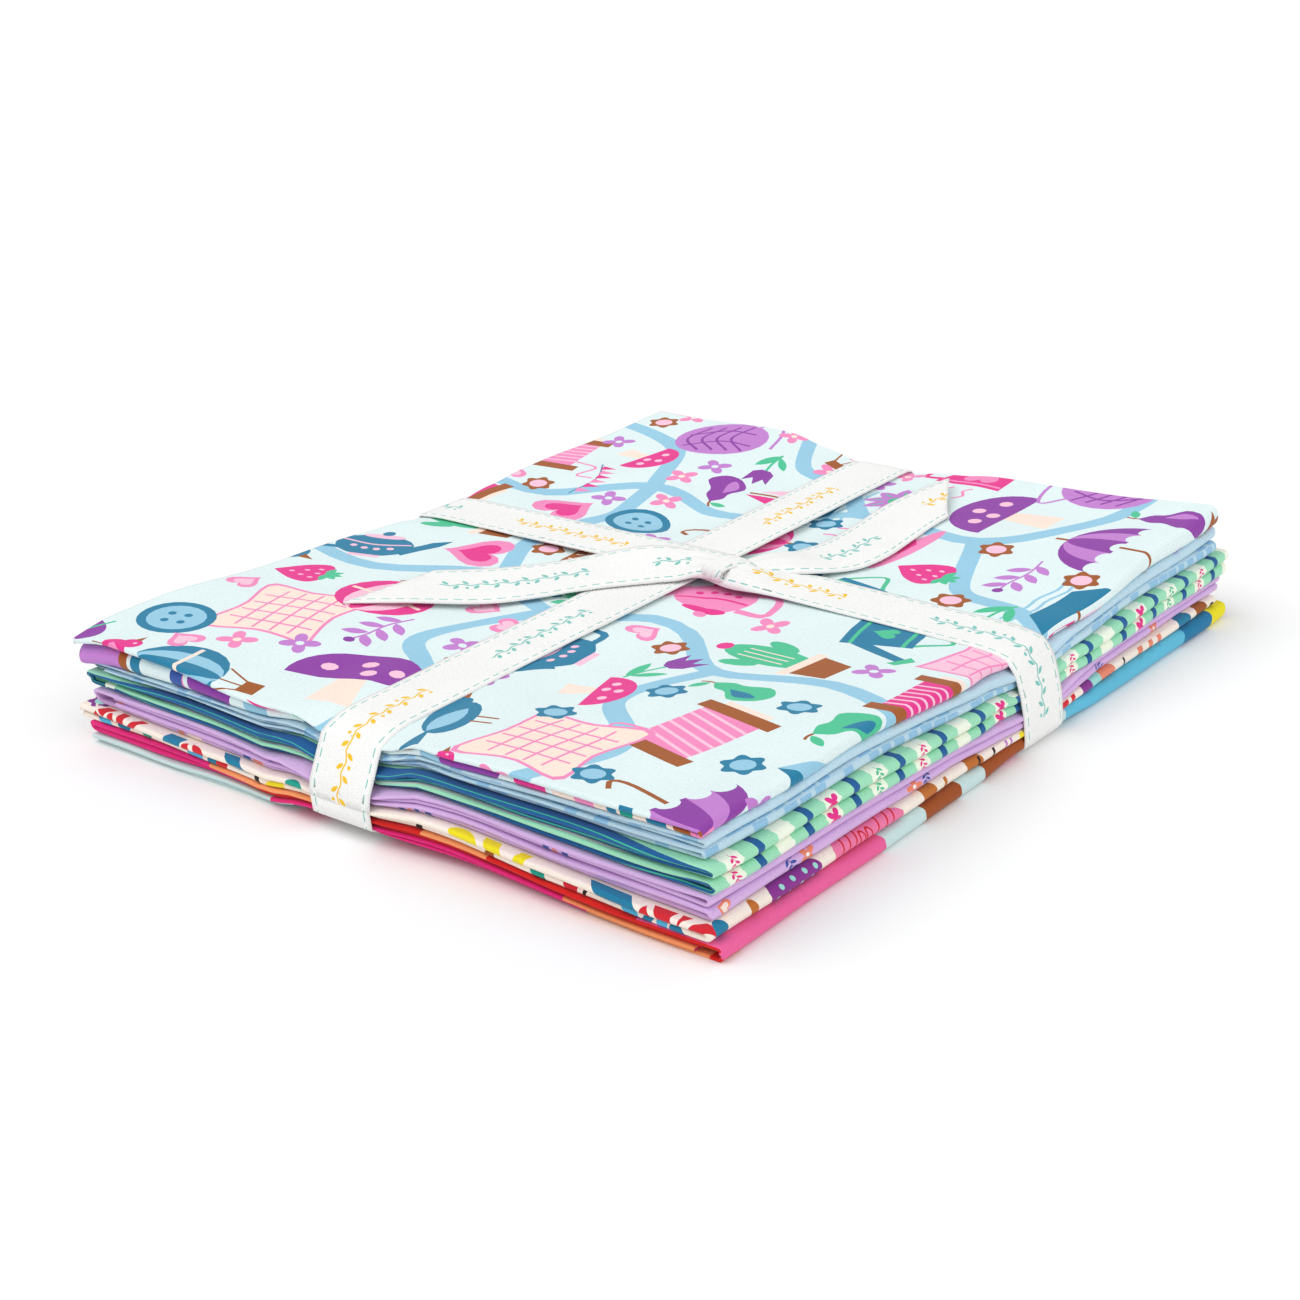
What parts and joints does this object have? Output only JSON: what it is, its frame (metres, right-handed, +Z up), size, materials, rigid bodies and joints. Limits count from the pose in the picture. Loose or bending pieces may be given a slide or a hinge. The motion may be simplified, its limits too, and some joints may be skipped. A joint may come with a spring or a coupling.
{
  "type": "folded fabric bundle",
  "caption": "Stack of folded printed cottons, tied crosswise with a knotted white ribbon whose free ends lie on top.",
  "frame": {"origin": "centre of the bounding box's underside, on the surface that the stack rests on", "axes": "+X across the cottons' folds, towards most of their closed rolls; +Y along the folds, away from the edge at which the cut layers show; +Z up"},
  "size_m": [0.233, 0.2846, 0.0384],
  "materials": {
    "cotton_1_ice_blue": "matte woven cotton",
    "cotton_2_pale_blue": "matte woven cotton",
    "cotton_3_mint_stripe": "matte woven cotton",
    "cotton_4_lilac": "matte woven cotton",
    "cotton_5_cream": "matte woven cotton",
    "cotton_6_colour_block": "matte woven cotton",
    "ribbon": "matte woven ribbon with a slight sheen"
  },
  "bodies": {
    "root": {"cotton_1_ice_blue": "cotton_1_ice_blue", "cotton_2_pale_blue": "cotton_2_pale_blue", "cotton_3_mint_stripe": "cotton_3_mint_stripe", "cotton_4_lilac": "cotton_4_lilac", "cotton_5_cream": "cotton_5_cream", "cotton_6_colour_block": "cotton_6_colour_block", "ribbon_tie": "ribbon"}
  },
  "joints": []
}
